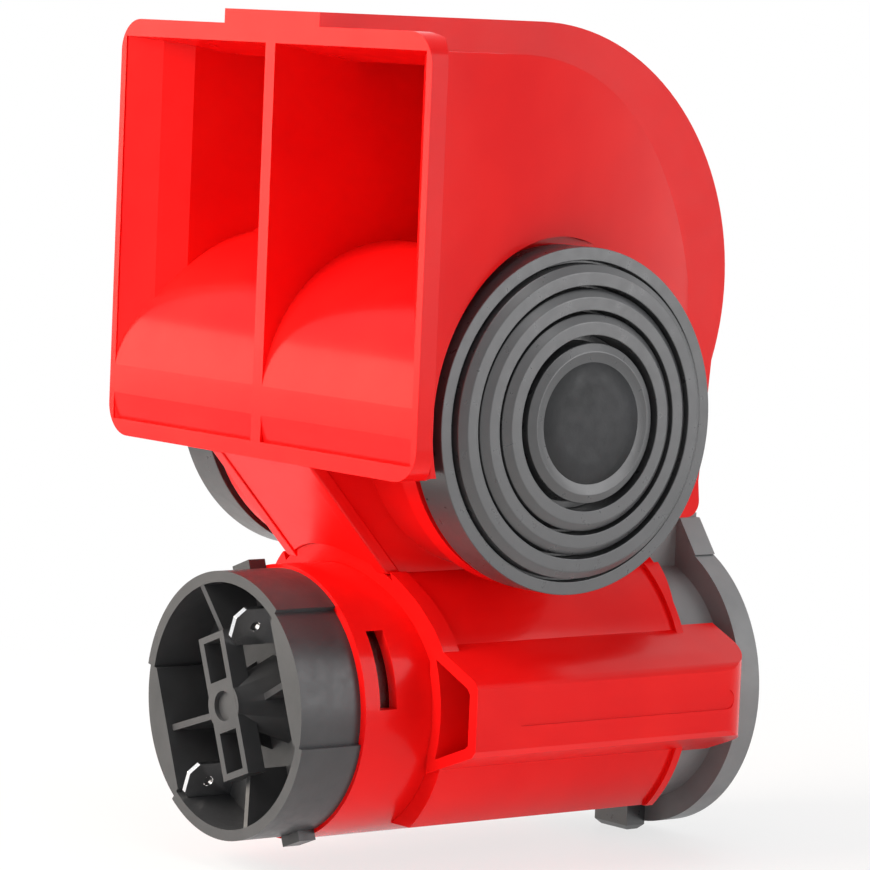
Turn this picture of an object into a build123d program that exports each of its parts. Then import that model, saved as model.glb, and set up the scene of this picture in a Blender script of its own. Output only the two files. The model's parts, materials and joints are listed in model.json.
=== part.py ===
from build123d import *
from math import atan2, cos, degrees, hypot, radians, sin, sqrt
import os

os.makedirs("parts", exist_ok=True)

# A twin-tone air horn: two curled trumpets side by side, on top of a motor and vane pump.
# The origin is the mouth of the mounting hole, in the rear face of the pump's head.
# -Y is the front, where the trumpets open, +Z is up, and the horn is symmetric about X = 0
# apart from the side channel on +X. All sizes are in millimetres.

# Reference lines: "back" runs from the mouth's front face, "height" from the motor's axis
mount_back = 84.0
mount_height = 19.5
seat = 0.05                 # gap between curved faces that seat on each other
run = 0.03                  # radial running clearance of the shaft in its bushes
brush_gap = 0.08            # between a brush and the commutator

# Trumpets
wall = 2.2                  # moulded wall
divider = 2.4               # wall between the two trumpets
mouth_width = 78.6
mouth_bottom = 37.7
band_rise = 2.2             # the band between the shells stands above the mouths by this much
mouth_corner = 5.0
lip = 2.5                   # width of the lip round the mouth
lip_depth = 3.0
lip_slope = 2.0             # the lip's back draws in over this length
lip_slope_rise = 2.4        # and starts this far outside the side wall
lip_lead = 0.3              # the opening's straight lead, then its slope inwards
lip_lead_slope = 1.4
lip_flare = 8.0             # where the lip's back has come down to the side wall
lip_opening = 38.0          # half width of the opening at the mouth's face
flare_back = 14.0           # where the ceiling's flare ends
flare_rise = 2.3
centre_half = 12.0          # half the width of the centre moulding
centre_side = 2.0           # side wall of the centre moulding's keel
curl_back = 43.0            # outer curve of the centre moulding
curl_rise = 18.6            # middle of that curve, above the middle of the hump
curl_radius = 40.2
curl_end_angle = -18.3
tail_back = 79.6
tail_height = 33.0
heel_back = 80.2
heel_bottom = 27.2
heel_round = 2.5
keel_front = 16.0           # the space inside the keel starts this far behind the mouth
hump_back = 24.3            # floor of the channel, which is also the middle of the curl
hump_height = 46.5
hump_radius = 24.4
channel_radius = 51.6       # ceiling of the channel, about the same centre
channel_floor = 29.4
shell_edge_round = 3.5
shell_floor = 33.0
side_front = 32.8           # outer face of the side shell, from the mouth to the back
side_middle = 25.8
side_middle_back = 42.0
side_rear = 12.6
side_rear_back = 75.0

# Neck, between the trumpets and the saddle
neck_back = 68.4
neck_slope_back = 19.2      # where the sloping front reaches neck_low
neck_low = 18.0
neck_top_back = 1.2
neck_foot_reach = 6.0       # the cut for the saddle starts this far before the neck's foot

# Diaphragm units, one on each side
unit_shift = 11.3           # behind the middle of the hump
unit_drop = 0.9             # below it
cap_radius = 26.3
cap_back_face = 26.7        # distances along X from the middle of the horn
cap_rim_face = 33.3
cap_skirt = 1.7
pocket_clearance = 1.2
boss_radius = 26.0
boss_face = 25.2
boss_root = 16.0
flange_back = 21.8
drum_radius = 24.4
drum_wall = 2.0
seal_thickness = 0.8
seal_radius = 24.9
diaphragm_thickness = 0.4
diaphragm_radius = 24.3
throat_radius = 3.5
throat_wall = 1.5
throat_gap = 0.3            # between the throat tube and the diaphragm
duct_end_back = 52.0        # the throat duct opens into the channel here
duct_end_height = 36.0
ring_pitch = 3.68           # ribs on the cap, from the rim inwards
ring_flat = 2.35
ring_groove_depth = 1.6
ring_steps = [1.7, 2.2, 2.9]
puck_radius = 12.1
puck_rise = 3.4
puck_edge = 1.3
puck_dish = 0.4
cap_cavity_depth = 3.6

# Motor sleeve, saddle and side channel
sleeve_radius = 21.1
sleeve_wall = 1.9
sleeve_front = 7.0
sleeve_back = 68.0
window_back = 11.3
window_width = 3.2
window_low = 1.5
window_high = 12.9
saddle_wall = 2.8
saddle_front = 17.5
saddle_back = 70.8
saddle_lip = 0.7
saddle_lip_width = 2.0
channel_outer = 31.8
channel_shoulder = 29.6
channel_top = 8.3
channel_top_outer = 7.3
channel_face_top = 5.3
channel_face_bottom = -3.6
channel_bottom_outer = -5.2
channel_bottom = -8.0
channel_wall = 1.8
channel_back = 76.6
channel_end_round = 4.0
groove_front = 27.5
groove_back = 72.2
groove_height = 3.8
groove_middle = 1.2
groove_depth = 0.4

# Front cap
front_radius = 20.5
front_face = -4.05
front_wall = 1.7
front_floor = 1.8
front_turn = 21.0           # the whole pattern of ribs is turned by this much
chord_distance = 15.5
chord_angle = 61.0
chord_step = 0.7
rib_thickness = 1.0
frame_length = 23.0
frame_width = 6.2
slot_width = 3.3
slot_end = 10.0
frame_depth = 3.2
hub_radius = 3.7
hub_dimple = 1.9
hub_dimple_depth = 0.8
hub_cone = 7.4              # foot of the hub's cone, on the cap's floor
spigot_wall = 3.0
spigot_length = 1.6
lug_width = 6.0
lug_length = 4.6
lug_height = 1.7
blade_width = 4.8
blade_thickness = 0.8
blade_chamfer = 1.1
blade_front = -3.5
blade_hole = 0.7
blades = [(0.9, 12.2), (-9.6, -13.2)]

# Motor
can_radius = 18.0
can_wall = 1.0
can_back = 57.0
bell_length = 2.6
shaft_radius = 1.59
shaft_end = 1.0             # the shaft's ends stand back by this much
bush_radius = 3.5
bush_length = 4.0
bush_holder = 5.4
magnet_thickness = 3.4
magnet_front = 22.0
magnet_back = 50.0
magnet_angle = 130.0
armature_radius = 12.6
armature_front = 25.0
armature_back = 47.0
armature_poles = 5
slot_radius = 5.2           # bottom of the armature's winding slots
slot_opening = 1.8
slot_width_wound = 4.6
end_turns_length = 3.0
end_turns_radius = 11.0
commutator_radius = 4.6
commutator_front = 13.6
commutator_back = 20.4
brush_width = 3.0
brush_length = 7.0
brush_front = 15.2
brush_back = 18.8
holder_width = 5.4
holder_front = 5.8
holder_back = 13.4

# Pump
pump_plate = 2.6
pump_ring_length = 8.0
rotor_radius = 11.4
rotor_clearance = 0.1
chamber_radius = 13.2
chamber_drop = 1.5
vane_count = 4
vane_thickness = 1.6
vane_depth = 6.0
outlet_back = 63.6
outlet_radius = 2.0
outlet_wall = 1.0
outlet_top = 24.9
outlet_foot = 15.0

# Rear head
head_radius = 20.0
gasket_thickness = 0.6
head_flange_front = 79.8
head_flange_radius = 23.9
head_bore = 12.4
head_floor = 76.6
block_half = 7.0
block_front = 71.5
block_low = 12.0
tab_low = 21.0
tab_high = 26.5
tab_half_low = 11.9
tab_half_high = 7.8
insert_radius = 5.2
insert_length = 11.0
mount_radius = 3.4
mount_depth = 9.5
screw_circle = 16.8
screw_angles = [35, 145, 215, 325]
screw_radius = 1.5
screw_head_radius = 2.7
screw_head_length = 2.4
screw_sink = 0.4
inlet_port_circle = 12.6
inlet_port_angles = [245, 270, 295]
inlet_port_radius = 1.6
inlet_slots = 3
inlet_slot_length = 18.0
inlet_slot_width = 3.0
inlet_slot_pitch = 6.0
filter_thickness = 2.4
foot_middle = -1.5
foot_width = 8.0
foot_length = 3.8
foot_drop = 1.2
foot_seat = 19.2

# Worked-out sizes
curl_height = hump_height + curl_rise
centre_top = curl_height + curl_radius
mouth_top = centre_top - band_rise
unit_back = hump_back + unit_shift
unit_height = hump_height - unit_drop
shell_radius = channel_radius + wall
lip_bottom = mouth_bottom + lip
lip_top = hump_height + channel_radius + flare_rise
pocket_radius = cap_radius + pocket_clearance
seal_face = boss_face + seal_thickness
diaphragm_face = seal_face + diaphragm_thickness
saddle_radius = sleeve_radius + seat + saddle_wall
sleeve_bore = sleeve_radius - sleeve_wall
front_back = sleeve_front
can_front = front_back + spigot_length
bell_back = can_front + bell_length
pump_radius = sleeve_bore - seat
pump_front = can_back
ring_front = pump_front + pump_plate
ring_back = ring_front + pump_ring_length
pump_back = ring_back + pump_plate
rotor_front = ring_front + rotor_clearance
rotor_back = ring_back - rotor_clearance
shaft_front = front_back + shaft_end
shaft_back = rotor_back - shaft_end
head_front = pump_back + gasket_thickness
throat_start = centre_half - centre_side
chamber_top = chamber_radius - chamber_drop
vane_reach = chamber_top - 0.12

# Sketch planes. On `side` a point is (back, height), on `ahead` (x, height), on `plan` (x, back).
corner = (0, -mount_back, -mount_height)
side = Plane(origin=corner, x_dir=(0, 1, 0), z_dir=(1, 0, 0))
ahead = Plane(origin=corner, x_dir=(1, 0, 0), z_dir=(0, -1, 0))
plan = Plane(origin=corner, x_dir=(1, 0, 0), z_dir=(0, 0, 1))
motor_line = Axis(corner, (0, 1, 0))
unit_centre = (0, unit_back - mount_back, unit_height - mount_height)
unit_line = Axis(unit_centre, (1, 0, 0))
unit_section = Plane(origin=unit_centre, x_dir=(1, 0, 0), z_dir=(0, -1, 0))


def across(back):
    """Plane across the motor's axis, facing the front, at a distance behind the mouth."""
    return ahead.offset(-back)


def on_circle(radius, angle):
    return (radius * cos(radians(angle)), radius * sin(radians(angle)))


# Outlines of the centre moulding and its spaces, seen from the side
with BuildSketch() as centre_outline:
    with BuildLine():
        curl = CenterArc((curl_back, curl_height), curl_radius, curl_end_angle, 90 - curl_end_angle)
        Polyline(
            curl @ 0,
            (tail_back, tail_height),
            (heel_back, heel_bottom),
            (neck_back, heel_bottom),
            (neck_back, neck_low),
            (neck_slope_back, neck_low),
            (neck_top_back, mouth_bottom),
            (0, mouth_bottom),
            (0, centre_top),
            curl @ 1,
        )
    make_face()
    heel = centre_outline.vertices().group_by(Axis.Y)[1].sort_by(Axis.X)[-1]
    fillet(heel, radius=heel_round)

# Channel between the ceiling and the hump, from the mouth round the curl to the throat
with BuildSketch() as channel_outline:
    ceiling = hump_height + channel_radius
    flare_slope = flare_rise / flare_back
    with BuildLine():
        roof = CenterArc((hump_back, hump_height), channel_radius, 0, 90)
        Polyline(
            roof @ 0,
            (hump_back + channel_radius - 1, channel_floor),
            (hump_back + hump_radius * 0.65, channel_floor),
            (hump_back, lip_bottom),
            (-1, lip_bottom),
            (-1, ceiling + flare_slope * (flare_back + 1)),
            (flare_back, ceiling),
            roof @ 1,
        )
    make_face()
    with Locations((hump_back, hump_height)):
        Circle(hump_radius, mode=Mode.SUBTRACT)

# The centre moulding's keel stands outside the side shells, and is hollow behind the lip
with BuildSketch() as keel_outline:
    add(centre_outline.sketch)
    offset(amount=-wall, kind=Kind.INTERSECTION)
    with Locations((keel_front, 0)):
        Rectangle(2 * keel_front, 2 * centre_top, align=(Align.MAX, Align.CENTER), mode=Mode.SUBTRACT)
    with Locations((0, channel_floor)):
        Rectangle(2 * heel_back, channel_floor, align=(Align.CENTER, Align.MAX), mode=Mode.SUBTRACT)
    with Locations((hump_back, hump_height)):
        Circle(hump_radius, mode=Mode.SUBTRACT)

# Where the channel passes from the centre moulding into a side shell
with BuildSketch() as opening_outline:
    add(channel_outline.sketch)
    with Locations((0, shell_floor + wall)):
        Rectangle(
            2 * heel_back, shell_floor, align=(Align.CENTER, Align.MAX), mode=Mode.SUBTRACT
        )
    with Locations((side_rear_back - wall, 0)):
        Rectangle(heel_back, 2 * centre_top, align=(Align.MIN, Align.CENTER), mode=Mode.SUBTRACT)

duct_angle = degrees(atan2(duct_end_height - unit_height, duct_end_back - unit_back))
duct_run = hypot(duct_end_height - unit_height, duct_end_back - unit_back)
duct_middle = ((unit_back + duct_end_back) / 2, (unit_height + duct_end_height) / 2)
slope_shift = wall * hypot(neck_slope_back - neck_top_back, mouth_bottom - neck_low) / (mouth_bottom - neck_low)

# Air space inside the hump and the neck, which feeds both diaphragm units
with BuildSketch() as core_outline:
    with Locations((hump_back, hump_height)):
        Circle(hump_radius - wall)
    with BuildLine():
        Polyline(
            (neck_slope_back + slope_shift, neck_low),
            (neck_slope_back + slope_shift, neck_low - 1),
            (neck_back - wall, neck_low - 1),
            (neck_back - wall, channel_floor - wall),
            (hump_back + 0.56 * hump_radius, channel_floor - wall),
            (hump_back + 0.56 * hump_radius, mouth_bottom),
            (neck_top_back + slope_shift, mouth_bottom),
            close=True,
        )
    make_face()
    with Locations(duct_middle):
        SlotCenterToCenter(
            duct_run, 2 * (throat_radius + wall), rotation=duct_angle, mode=Mode.SUBTRACT
        )

# Where that air space passes into a side shell
with BuildSketch() as core_opening:
    with Locations((hump_back, hump_height)):
        Circle(hump_radius - wall)
    with Locations((0, lip_bottom)):
        Rectangle(2 * heel_back, lip_bottom, align=(Align.CENTER, Align.MAX), mode=Mode.SUBTRACT)

with BuildPart() as trumpet_centre:
    with BuildSketch(side):
        add(centre_outline.sketch)
    extrude(amount=centre_half)
    with BuildSketch(side.offset(divider / 2)):
        add(opening_outline.sketch)
    extrude(amount=centre_half - divider / 2, mode=Mode.SUBTRACT)
    with BuildSketch(side.offset(divider / 2)):
        add(channel_outline.sketch)
        add(keel_outline.sketch)
    extrude(amount=throat_start - divider / 2, mode=Mode.SUBTRACT)
    with BuildSketch(side.offset(divider / 2)):
        add(core_outline.sketch)
    extrude(amount=throat_start - divider / 2, mode=Mode.SUBTRACT)
    with BuildSketch(side.offset(divider / 2)):
        with Locations(duct_middle):
            SlotCenterToCenter(duct_run, 2 * throat_radius, rotation=duct_angle)
    extrude(amount=throat_start - divider / 2, mode=Mode.SUBTRACT)
    with BuildSketch(side.offset(throat_start)):
        add(core_opening.sketch)
        with Locations(duct_middle):
            SlotCenterToCenter(
                duct_run, 2 * (throat_radius + wall), rotation=duct_angle, mode=Mode.SUBTRACT
            )
        with Locations((unit_back, unit_height)):
            Circle(throat_radius + throat_wall + seat)
    extrude(amount=centre_side, mode=Mode.SUBTRACT)
    mirror(about=Plane.YZ)
    # The neck's foot follows the saddle, and air from the pump passes the divider
    with BuildSketch(across(neck_back + 1)):
        Circle(saddle_radius + seat)
    extrude(amount=neck_back + 1 - neck_slope_back + neck_foot_reach, mode=Mode.SUBTRACT)
    with BuildSketch(plan.offset(neck_low)):
        with Locations((0, outlet_back)):
            Circle(outlet_radius + outlet_wall + seat)
    extrude(amount=channel_floor - wall - neck_low, mode=Mode.SUBTRACT)
trumpet_centre.part.label = "trumpet_centre"
export_step(trumpet_centre.part, "parts/trumpet_centre.step")

# Side shell: the outer half of a channel, whose side wall draws in towards the back
with BuildSketch() as shell_outline:
    with BuildLine():
        back = CenterArc((hump_back, hump_height), shell_radius, 0, 90)
        Polyline(
            back @ 0,
            (hump_back + shell_radius, shell_floor),
            (unit_back, shell_floor),
            (unit_back, mouth_bottom),
            (0, mouth_bottom),
            (0, mouth_top),
            (lip_depth, mouth_top),
            (lip_flare, hump_height + shell_radius),
            back @ 1,
        )
    make_face()

lip_back = lip_depth + lip_slope
lip_back_half = side_front + lip_slope_rise

with BuildSketch() as shell_plan:
    with BuildLine():
        Polyline(
            (side_rear, side_rear_back),
            (centre_half, side_rear_back),
            (centre_half, 0),
            (mouth_width / 2, 0),
            (mouth_width / 2, lip_depth),
            (lip_back_half, lip_back),
            (side_front, lip_flare),
        )
        ThreePointArc(
            (side_front, lip_flare), (side_middle, side_middle_back), (side_rear, side_rear_back)
        )
    make_face()

with BuildSketch() as shell_plan_inside:
    with BuildLine():
        Polyline(
            (side_rear - wall, side_rear_back - wall),
            (side_rear - wall, -1),
            (lip_opening, -1),
            (lip_opening, lip_lead),
            (lip_back_half - wall, lip_back - lip_lead_slope),
            (side_front - wall, lip_flare),
        )
        ThreePointArc(
            (side_front - wall, lip_flare),
            (side_middle - wall, side_middle_back - 1),
            (side_rear - wall, side_rear_back - wall),
        )
    make_face()

mouth_height = mouth_top - mouth_bottom
mouth_middle = (mouth_top + mouth_bottom) / 2

# The space that the side shell's channel takes, clear of the pocket and the drum
with BuildPart() as shell_channel:
    with BuildSketch(side.offset(side_rear - wall)):
        add(opening_outline.sketch)
    extrude(amount=mouth_width / 2)
    with BuildSketch(plan):
        add(shell_plan_inside.sketch)
    extrude(amount=centre_top, mode=Mode.INTERSECT)
    with BuildSketch(side.offset(boss_face - wall)):
        with Locations((unit_back, unit_height)):
            Circle(pocket_radius + wall)
    extrude(amount=mouth_width / 2, mode=Mode.SUBTRACT)
    with BuildSketch(side):
        with Locations((unit_back, unit_height)):
            Circle(drum_radius)
    extrude(amount=mouth_width / 2, mode=Mode.SUBTRACT)

with BuildPart() as shell_core:
    with BuildSketch(side.offset(throat_start)):
        add(core_opening.sketch)
    extrude(amount=boss_face - wall - throat_start)
    with BuildSketch(side.offset(centre_half + wall)):
        with Locations((unit_back, unit_height)):
            Circle(drum_radius - drum_wall)
    extrude(amount=boss_face - centre_half - wall)

with BuildPart() as trumpet_shell_right:
    with BuildSketch(side.offset(centre_half)):
        add(shell_outline.sketch)
    extrude(amount=mouth_width / 2 - centre_half)
    with BuildSketch(plan):
        add(shell_plan.sketch)
    extrude(amount=centre_top, mode=Mode.INTERSECT)
    with BuildSketch(across(heel_back)):
        with Locations((0, mouth_middle)):
            RectangleRounded(mouth_width, mouth_height, mouth_corner)
    extrude(amount=heel_back, mode=Mode.INTERSECT)
    with BuildSketch(side.offset(boss_root)):
        add(shell_outline.sketch)
        with Locations((unit_back, unit_height)):
            Circle(boss_radius, mode=Mode.INTERSECT)
    extrude(amount=boss_face - boss_root)
    with BuildSketch(side.offset(flange_back)):
        with Locations((unit_back, unit_height)):
            Circle(boss_radius)
    extrude(amount=boss_face - flange_back)
    with BuildSketch(side.offset(centre_half)):
        with Locations((unit_back, unit_height)):
            Circle(drum_radius)
    extrude(amount=flange_back - centre_half)
    with BuildSketch(side.offset(boss_face)):
        with Locations((unit_back, unit_height)):
            Circle(pocket_radius)
    extrude(amount=mouth_width, mode=Mode.SUBTRACT)
    add(shell_channel.part, mode=Mode.SUBTRACT)
    add(shell_core.part, mode=Mode.SUBTRACT)
trumpet_shell_right.part.label = "trumpet_shell_right"
export_step(trumpet_shell_right.part, "parts/trumpet_shell_right.step")

# Diaphragm unit, from the boss outwards: seal, diaphragm, ribbed cap, and the throat tube
with BuildPart() as seal_ring_right:
    with BuildSketch(side.offset(boss_face)):
        with Locations((unit_back, unit_height)):
            Circle(seal_radius)
            Circle(drum_radius - drum_wall, mode=Mode.SUBTRACT)
    extrude(amount=seal_thickness)

with BuildPart() as diaphragm_right:
    with BuildSketch(side.offset(seal_face)):
        with Locations((unit_back, unit_height)):
            Circle(diaphragm_radius)
    extrude(amount=diaphragm_thickness)

with BuildPart() as throat_tube_right:
    with BuildSketch(side.offset(throat_start)):
        with Locations((unit_back, unit_height)):
            Circle(throat_radius + throat_wall)
            Circle(throat_radius, mode=Mode.SUBTRACT)
    extrude(amount=seal_face - throat_gap - throat_start)

with BuildPart() as ribbed_cap_right:
    cavity_face = diaphragm_face + cap_cavity_depth
    with BuildSketch(unit_section):
        with BuildLine():
            Polyline(
                (cavity_face, 0),
                (cavity_face, drum_radius - drum_wall),
                (diaphragm_face, drum_radius - drum_wall),
                (diaphragm_face, diaphragm_radius + seat),
                (cap_back_face, diaphragm_radius + seat),
                (cap_back_face, cap_radius),
                (cap_rim_face, cap_radius),
                (cap_rim_face, puck_radius),
                (cap_rim_face + puck_rise, puck_radius - puck_edge),
                (cap_rim_face + puck_rise - puck_dish, puck_radius - 2 * puck_edge),
                (cap_rim_face + puck_rise - puck_dish, 0),
                close=True,
            )
        make_face()
        # Ribs, each higher than the one outside it, with a dark groove between them
        for count, step in enumerate(ring_steps):
            outer = cap_radius - (count + 1) * ring_pitch
            with BuildLine():
                Polyline(
                    (cap_rim_face - 1, outer),
                    (cap_rim_face + step, outer),
                    (cap_rim_face + step, outer - ring_flat),
                    (cap_rim_face - 1, outer - ring_flat),
                    close=True,
                )
            make_face()
        for count in range(len(ring_steps) + 1):
            bottom = cap_radius - (count + 1) * ring_pitch
            with BuildLine():
                Polyline(
                    (cap_rim_face - ring_groove_depth, bottom),
                    (cap_rim_face - ring_groove_depth, bottom + ring_pitch - ring_flat),
                    (cap_rim_face + puck_rise, bottom + ring_pitch - ring_flat),
                    (cap_rim_face + puck_rise, bottom),
                    close=True,
                )
            make_face(mode=Mode.SUBTRACT)
    revolve(axis=unit_line)

for piece, name in [
    (seal_ring_right, "seal_ring_right"),
    (diaphragm_right, "diaphragm_right"),
    (throat_tube_right, "throat_tube_right"),
    (ribbed_cap_right, "ribbed_cap_right"),
]:
    piece.part.label = name
    export_step(piece.part, f"parts/{name}.step")

for piece, name in [
    (trumpet_shell_right, "trumpet_shell_left"),
    (seal_ring_right, "seal_ring_left"),
    (diaphragm_right, "diaphragm_left"),
    (throat_tube_right, "throat_tube_left"),
    (ribbed_cap_right, "ribbed_cap_left"),
]:
    with BuildPart() as other_side:
        mirror(piece.part, about=Plane.YZ)
    other_side.part.label = name
    export_step(other_side.part, f"parts/{name}.step")

# Saddle, which wraps the motor sleeve and carries the neck, with its hollow side channel
with BuildSketch() as channel_section:
    with BuildLine():
        Polyline(
            (0, channel_top),
            (channel_shoulder, channel_top_outer),
            (channel_outer, channel_face_top),
            (channel_outer, channel_face_bottom),
            (channel_shoulder + 0.8, channel_bottom_outer),
            (0, channel_bottom),
            close=True,
        )
    make_face()

with BuildPart() as saddle:
    with BuildSketch(across(channel_back)):
        add(channel_section.sketch)
        Circle(head_radius + seat, mode=Mode.SUBTRACT)
        with Locations((0, 0)):
            Rectangle(
                head_radius, 2 * head_radius, align=(Align.MIN, Align.CENTER), mode=Mode.SUBTRACT
            )
    extrude(amount=channel_back - saddle_front)
    with BuildSketch(plan.offset(channel_bottom)):
        with Locations((0, channel_back)):
            RectangleRounded(
                2 * channel_outer,
                2 * channel_back,
                channel_end_round,
                align=(Align.CENTER, Align.MAX),
            )
    extrude(amount=channel_top - channel_bottom, mode=Mode.INTERSECT)
    with BuildSketch(across(saddle_back)):
        Circle(saddle_radius)
    extrude(amount=saddle_back - saddle_front)
    with BuildSketch(across(saddle_back)):
        Circle(saddle_radius + saddle_lip)
    extrude(amount=saddle_lip_width)
    with BuildSketch(across(channel_back - channel_wall)):
        add(channel_section.sketch)
        offset(amount=-channel_wall, kind=Kind.INTERSECTION)
        Circle(saddle_radius, mode=Mode.SUBTRACT)
    extrude(amount=channel_back, mode=Mode.SUBTRACT)
    with BuildSketch(across(channel_back)):
        Circle(sleeve_radius + seat)
    extrude(amount=channel_back, mode=Mode.SUBTRACT)
    with BuildSketch(side.offset(channel_outer)):
        with Locations(((groove_front + groove_back) / 2, groove_middle)):
            RectangleRounded(groove_back - groove_front, groove_height, groove_height / 3)
    extrude(amount=-groove_depth, mode=Mode.SUBTRACT)
    with BuildSketch(plan):
        with Locations((0, outlet_back)):
            Circle(outlet_radius + outlet_wall + seat)
    extrude(amount=centre_top, mode=Mode.SUBTRACT)
saddle.part.label = "compressor_saddle"
export_step(saddle.part, "parts/compressor_saddle.step")

with BuildPart() as motor_sleeve:
    with BuildSketch(across(sleeve_back)):
        Circle(sleeve_radius)
        Circle(sleeve_bore, mode=Mode.SUBTRACT)
    extrude(amount=sleeve_back - sleeve_front)
    with BuildSketch(side):
        with Locations((window_back, (window_low + window_high) / 2)):
            Rectangle(window_width, window_high - window_low)
    extrude(amount=mouth_width, mode=Mode.SUBTRACT)
    with BuildSketch(plan):
        with Locations((0, outlet_back)):
            Circle(outlet_radius + outlet_wall + seat)
    extrude(amount=centre_top, mode=Mode.SUBTRACT)
motor_sleeve.part.label = "motor_sleeve"
export_step(motor_sleeve.part, "parts/motor_sleeve.step")

# Front cap: a ring with two solid segments, a hub on ribs, and a long frame with two slots
with BuildPart() as front_cap:
    with BuildSketch(across(front_back)):
        Circle(front_radius)
    extrude(amount=front_back - front_face)
    with BuildSketch(across(front_back - front_floor)):
        Circle(front_radius - front_wall)
        for turn in (front_turn, front_turn + 180):
            with Locations(on_circle(chord_distance, turn)):
                Rectangle(
                    front_radius,
                    2 * front_radius,
                    rotation=turn,
                    align=(Align.MIN, Align.CENTER),
                    mode=Mode.SUBTRACT,
                )
    extrude(amount=front_back - front_floor - front_face, mode=Mode.SUBTRACT)
    # The outer face is set back a little over the two solid segments
    half_span = radians(chord_angle / 2)
    reach = 2 * front_radius
    for turn in (front_turn, front_turn + 180):
        with BuildSketch(across(front_back)):
            with BuildLine():
                Polyline(
                    (0, 0),
                    on_circle(reach, turn - chord_angle / 2),
                    on_circle(reach, turn + chord_angle / 2),
                    close=True,
                )
            make_face()
            Circle(front_radius - chord_step, mode=Mode.SUBTRACT)
        extrude(amount=front_back - front_face, mode=Mode.SUBTRACT)
    # Ribs from the ring, the hub with its cone, and the frame at the front
    with BuildSketch(across(front_back - front_floor)):
        Rectangle(2 * front_radius - front_wall, rib_thickness, rotation=front_turn)
        Rectangle(2 * front_radius - front_wall, rib_thickness, rotation=front_turn + 90)
        Circle(hub_radius)
    extrude(amount=front_back - front_floor - front_face)
    with BuildSketch(across(front_back - front_floor)):
        Circle(hub_cone)
    extrude(amount=front_back - front_floor - front_face - frame_depth, taper=24)
    with BuildSketch(across(front_face + frame_depth)):
        Rectangle(frame_width, frame_length, rotation=front_turn)
    extrude(amount=frame_depth)
    with BuildSketch(across(front_back - front_floor)):
        for turn in (front_turn + 90, front_turn - 90):
            with Locations(on_circle((hub_radius + slot_end) / 2, turn)):
                Rectangle(slot_width, slot_end - hub_radius, rotation=front_turn)
    extrude(amount=front_back - front_floor - front_face, mode=Mode.SUBTRACT)
    with BuildSketch(across(front_face + hub_dimple_depth)):
        Circle(hub_dimple)
    extrude(amount=hub_dimple_depth, mode=Mode.SUBTRACT)
    # Spigot in the sleeve, and the two snap lugs
    with BuildSketch(across(can_front)):
        Circle(sleeve_bore - seat)
        Circle(sleeve_bore - spigot_wall, mode=Mode.SUBTRACT)
    extrude(amount=spigot_length)
    with BuildSketch(across(front_back)):
        Rectangle(lug_width, 2 * (front_radius + lug_height), rotation=front_turn)
        Circle(front_radius - front_wall / 2, mode=Mode.SUBTRACT)
    extrude(amount=lug_length)
    with BuildSketch(across(can_front)):
        with Locations(*blades):
            Rectangle(blade_thickness + 2 * seat, blade_width + 2 * seat)
    extrude(amount=spigot_length + front_floor, mode=Mode.SUBTRACT)
front_cap.part.label = "front_cap"
export_step(front_cap.part, "parts/front_cap.step")

for (blade_x, blade_height), name in zip(blades, ["terminal_upper", "terminal_lower"]):
    with BuildPart() as terminal:
        with BuildSketch(side.offset(blade_x - blade_thickness / 2)) as blade_outline:
            with Locations((blade_front, blade_height)):
                Rectangle(can_front - blade_front, blade_width, align=(Align.MIN, Align.CENTER))
            chamfer(blade_outline.vertices().group_by(Axis.Y)[0], length=blade_chamfer)
            with Locations((blade_front + 3 * blade_chamfer, blade_height)):
                Circle(blade_hole, mode=Mode.SUBTRACT)
        extrude(amount=blade_thickness)
    terminal.part.label = name
    export_step(terminal.part, f"parts/{name}.step")

# Motor: end bell with its brushes, can with its magnets, and a bush at each end
with BuildPart() as end_bell:
    with BuildSketch(across(bell_back)):
        Circle(can_radius)
    extrude(amount=bell_length)
    with BuildSketch(across(can_front + bush_length)):
        Circle(bush_holder)
    extrude(amount=bush_length)
    with BuildSketch(across(brush_back + bell_length / 2)):
        with Locations(
            ((holder_front + holder_back) / 2, 0), (-(holder_front + holder_back) / 2, 0)
        ):
            Rectangle(holder_back - holder_front, holder_width)
    extrude(amount=brush_back + bell_length / 2 - can_front)
    with BuildSketch(side):
        with Locations(((brush_front + brush_back) / 2, 0)):
            Rectangle(brush_back - brush_front, brush_width)
    extrude(amount=can_radius, both=True, mode=Mode.SUBTRACT)
    with BuildSketch(across(can_back)):
        Circle(bush_radius + seat)
    extrude(amount=can_back, mode=Mode.SUBTRACT)

with BuildPart() as brushes:
    with BuildSketch(side.offset(commutator_radius + brush_gap)):
        with Locations(((brush_front + brush_back) / 2, 0)):
            Rectangle(brush_back - brush_front - 2 * seat, brush_width - 2 * seat)
    extrude(amount=brush_length)
    mirror(about=Plane.YZ)

with BuildPart() as motor_can:
    with BuildSketch(across(can_back)):
        Circle(can_radius)
    extrude(amount=can_back - bell_back)
    with BuildSketch(across(can_back - can_wall)):
        Circle(can_radius - can_wall)
    extrude(amount=can_back - can_wall - bell_back, mode=Mode.SUBTRACT)
    with BuildSketch(across(can_back)):
        Circle(bush_radius + seat)
    extrude(amount=can_wall, mode=Mode.SUBTRACT)

with BuildPart() as magnets:
    magnet_outer = can_radius - can_wall - seat
    with BuildSketch(across(magnet_back)):
        for turn in (0, 180):
            with BuildLine():
                Polyline(
                    (0, 0),
                    on_circle(4 * can_radius, turn - magnet_angle / 2),
                    on_circle(4 * can_radius, turn + magnet_angle / 2),
                    close=True,
                )
            make_face()
        Circle(magnet_outer, mode=Mode.INTERSECT)
        Circle(magnet_outer - magnet_thickness, mode=Mode.SUBTRACT)
    extrude(amount=magnet_back - magnet_front)

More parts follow.
